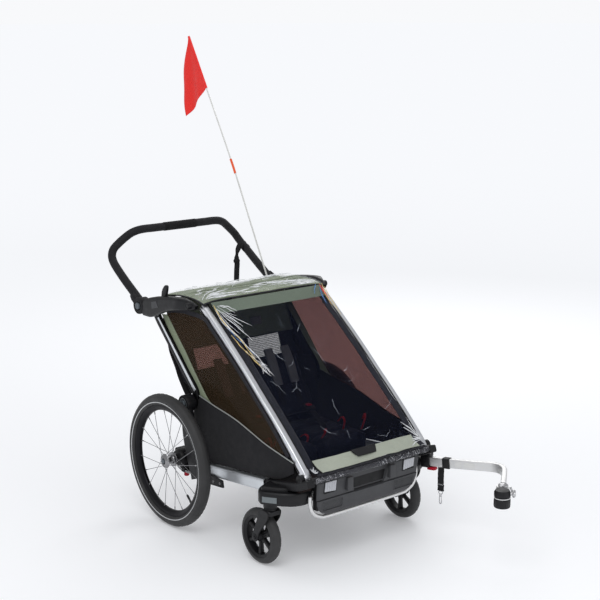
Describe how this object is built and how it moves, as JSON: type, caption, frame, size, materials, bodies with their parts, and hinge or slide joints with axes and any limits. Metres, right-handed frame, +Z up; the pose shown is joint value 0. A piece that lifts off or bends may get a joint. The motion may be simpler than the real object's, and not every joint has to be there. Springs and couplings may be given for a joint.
{
  "type": "child bicycle trailer",
  "caption": "Two-seat child bicycle trailer with a folding frame, large rear wheels, swivelling front casters, handlebar, side tow arm and flag.",
  "frame": {"origin": "middle of the bounding box, on the floor", "axes": "+Z up, the trailer faces -Y, its left side is +X"},
  "size_m": [0.807, 1.9139, 1.7545],
  "materials": {
    "silver": "satin",
    "steel": "satin",
    "black_plastic": "matte",
    "grey_plastic": "matte",
    "black_tube": "matte",
    "grip": "matte",
    "rubber": "matte",
    "button": "satin",
    "charcoal": "woven",
    "sage": "woven",
    "tint": "glossy",
    "seat_cloth": "woven",
    "mesh_cover": "mesh",
    "webbing": "woven",
    "red": "satin",
    "white": "satin"
  },
  "bodies": {
    "base": {"axle_beam": "silver", "front_cross_tube": "black_tube", "front_panel": "grey_plastic", "front_hoop": "silver", "floor_pan": "grey_plastic", "seat_cushion": "seat_cloth", "hitch_receiver": "black_plastic", "cargo_bag": "charcoal", "base_rail_right": "silver", "rear_post_right": "black_plastic", "axle_housing_right": "black_plastic", "corner_bracket_right": "black_plastic", "side_panel_right": "charcoal", "side_window_right": "tint", "base_rail_left": "silver", "rear_post_left": "black_plastic", "axle_housing_left": "black_plastic", "corner_bracket_left": "black_plastic", "side_panel_left": "charcoal", "side_window_left": "tint"},
    "rear_frame": {"rear_upright_right": "silver", "rear_upright_left": "silver", "rear_cross_tube": "black_tube"},
    "top_frame": {"top_casting_right": "black_plastic", "top_casting_left": "black_plastic", "canopy": "sage", "flag_socket": "black_plastic"},
    "front_frame": {"front_beam_right": "silver", "front_beam_left": "silver"},
    "front_cover": {"front_cover": "mesh_cover"},
    "seat_back": {"seat_back": "seat_cloth"},
    "handlebar": {"handlebar": "black_tube", "handlebar_grip": "grip"},
    "flag": {"flag_pole": "white", "flag": "red"},
    "brake_pedal": {"brake_pedal": "red"},
    "hitch_lock": {"hitch_lock": "red"},
    "hitch_arm": {"hitch_arm": "silver"},
    "coupling_swivel": {"coupling_swivel": "steel"},
    "coupling_body": {"coupling_body": "black_plastic"},
    "safety_strap": {"safety_strap": "webbing"},
    "snap_hook": {"snap_hook": "steel"},
    "wheel_right": {"tyre_right": "rubber", "rim_right": "black_tube", "hub_right": "silver"},
    "caster_right": {"caster_fork_right": "black_plastic"},
    "caster_wheel_right": {"caster_wheel_right": "black_plastic", "caster_tyre_right": "rubber"},
    "handlebar_button_right": {"handlebar_button_right": "button"},
    "frame_button_right": {"frame_button_right": "button"},
    "axle_button_right": {"axle_button_right": "button"},
    "wheel_left": {"tyre_left": "rubber", "rim_left": "black_tube", "hub_left": "silver"},
    "caster_left": {"caster_fork_left": "black_plastic"},
    "caster_wheel_left": {"caster_wheel_left": "black_plastic", "caster_tyre_left": "rubber"},
    "handlebar_button_left": {"handlebar_button_left": "button"},
    "frame_button_left": {"frame_button_left": "button"},
    "axle_button_left": {"axle_button_left": "button"}
  },
  "joints": [
    {"name": "frame_fold", "type": "hinge", "parent": "base", "child": "rear_frame", "pos_m": [0, 0.127, 0.464], "axis": [-1, 0, 0], "range_deg": [0, 50], "deforming": ["side_window_right", "side_window_left", "side_panel_right", "side_panel_left", "cargo_bag"]},
    {"name": "top_fold", "type": "hinge", "parent": "rear_frame", "child": "top_frame", "pos_m": [0, 0.362, 0.77], "axis": [1, 0, 0], "range_deg": [0, 49.49]},
    {"name": "front_fold", "type": "hinge", "parent": "base", "child": "front_frame", "pos_m": [0, -0.483, 0.335], "axis": [-1, 0, 0], "range_deg": [0, 25.06]},
    {"name": "seat_back_fold", "type": "hinge", "parent": "base", "child": "seat_back", "pos_m": [0, 0.042, 0.335], "axis": [-1, 0, 0], "range_deg": [0, 45.01]},
    {"name": "front_cover_lift", "type": "hinge", "parent": "front_frame", "child": "front_cover", "pos_m": [0, 0.074, 0.832], "axis": [1, 0, 0], "range_deg": [-110, 0]},
    {"name": "handlebar_tilt", "type": "hinge", "parent": "top_frame", "child": "handlebar", "pos_m": [0, 0.412, 0.778], "axis": [1, 0, 0], "range_deg": [-75, 12]},
    {"name": "flag_lift", "type": "slide", "parent": "top_frame", "child": "flag", "axis": [0, 0.461, 0.8874], "range_m": [0, 0.09]},
    {"name": "brake_pedal_press", "type": "hinge", "parent": "base", "child": "brake_pedal", "pos_m": [-0.175, 0.172, 0.247], "axis": [-1, 0, 0], "range_deg": [0, 25]},
    {"name": "hitch_lock_press", "type": "slide", "parent": "base", "child": "hitch_lock", "axis": [-0.0222, 0.08, 0.9966], "range_m": [0, 0.003], "stiffness_N_per_m": 600},
    {"name": "hitch_arm_slide", "type": "slide", "parent": "base", "child": "hitch_arm", "axis": [0.2667, -0.9602, 0.083], "range_m": [0, 0.06]},
    {"name": "coupling_swing", "type": "hinge", "parent": "hitch_arm", "child": "coupling_swivel", "pos_m": [0.248, -0.889, 0.287], "axis": [0, 0, 1], "range_deg": [-60, 60]},
    {"name": "coupling_tilt", "type": "hinge", "parent": "coupling_swivel", "child": "coupling_body", "pos_m": [0.22955, -0.90435, 0.287], "axis": [-0.6397, 0.7686, 0], "range_deg": [-25, 25]},
    {"name": "safety_strap_swing", "type": "hinge", "parent": "hitch_arm", "child": "safety_strap", "pos_m": [0.31643, -0.53713, 0.25781], "axis": [0.2676, -0.9635, 0], "range_deg": [-45, 45]},
    {"name": "snap_hook_swing", "type": "hinge", "parent": "safety_strap", "child": "snap_hook", "pos_m": [0.31643, -0.53713, 0.16811], "axis": [0.2676, -0.9635, 0], "range_deg": [-60, 60]},
    {"name": "wheel_spin_right", "type": "hinge", "parent": "base", "child": "wheel_right", "pos_m": [-0.375, 0.172, 0.247], "axis": [1, 0, 0], "continuous": true},
    {"name": "caster_swivel_right", "type": "hinge", "parent": "base", "child": "caster_right", "pos_m": [-0.33, -0.368, 0.215], "axis": [0, 0, 1], "continuous": true},
    {"name": "caster_spin_right", "type": "hinge", "parent": "caster_right", "child": "caster_wheel_right", "pos_m": [-0.33, -0.318, 0.098], "axis": [1, 0, 0], "continuous": true},
    {"name": "handlebar_button_press_right", "type": "slide", "parent": "handlebar", "child": "handlebar_button_right", "axis": [1, 0, 0], "range_m": [0, 0.003], "stiffness_N_per_m": 600},
    {"name": "frame_button_press_right", "type": "slide", "parent": "base", "child": "frame_button_right", "axis": [1, 0, 0], "range_m": [0, 0.003], "stiffness_N_per_m": 600},
    {"name": "axle_button_press_right", "type": "slide", "parent": "wheel_right", "child": "axle_button_right", "axis": [1, 0, 0], "range_m": [0, 0.003], "stiffness_N_per_m": 600},
    {"name": "wheel_spin_left", "type": "hinge", "parent": "base", "child": "wheel_left", "pos_m": [0.375, 0.172, 0.247], "axis": [1, 0, 0], "continuous": true},
    {"name": "caster_swivel_left", "type": "hinge", "parent": "base", "child": "caster_left", "pos_m": [0.33, -0.368, 0.215], "axis": [0, 0, 1], "continuous": true},
    {"name": "caster_spin_left", "type": "hinge", "parent": "caster_left", "child": "caster_wheel_left", "pos_m": [0.33, -0.318, 0.098], "axis": [1, 0, 0], "continuous": true},
    {"name": "handlebar_button_press_left", "type": "slide", "parent": "handlebar", "child": "handlebar_button_left", "axis": [-1, 0, 0], "range_m": [0, 0.003], "stiffness_N_per_m": 600},
    {"name": "frame_button_press_left", "type": "slide", "parent": "base", "child": "frame_button_left", "axis": [-1, 0, 0], "range_m": [0, 0.003], "stiffness_N_per_m": 600},
    {"name": "axle_button_press_left", "type": "slide", "parent": "wheel_left", "child": "axle_button_left", "axis": [-1, 0, 0], "range_m": [0, 0.003], "stiffness_N_per_m": 600}
  ],
  "couplings": [
    {"joint": "top_fold", "follows": "frame_fold", "ratio": 0.9896},
    {"joint": "front_fold", "follows": "frame_fold", "ratio": 0.5011},
    {"joint": "seat_back_fold", "follows": "frame_fold", "ratio": 0.9}
  ]
}
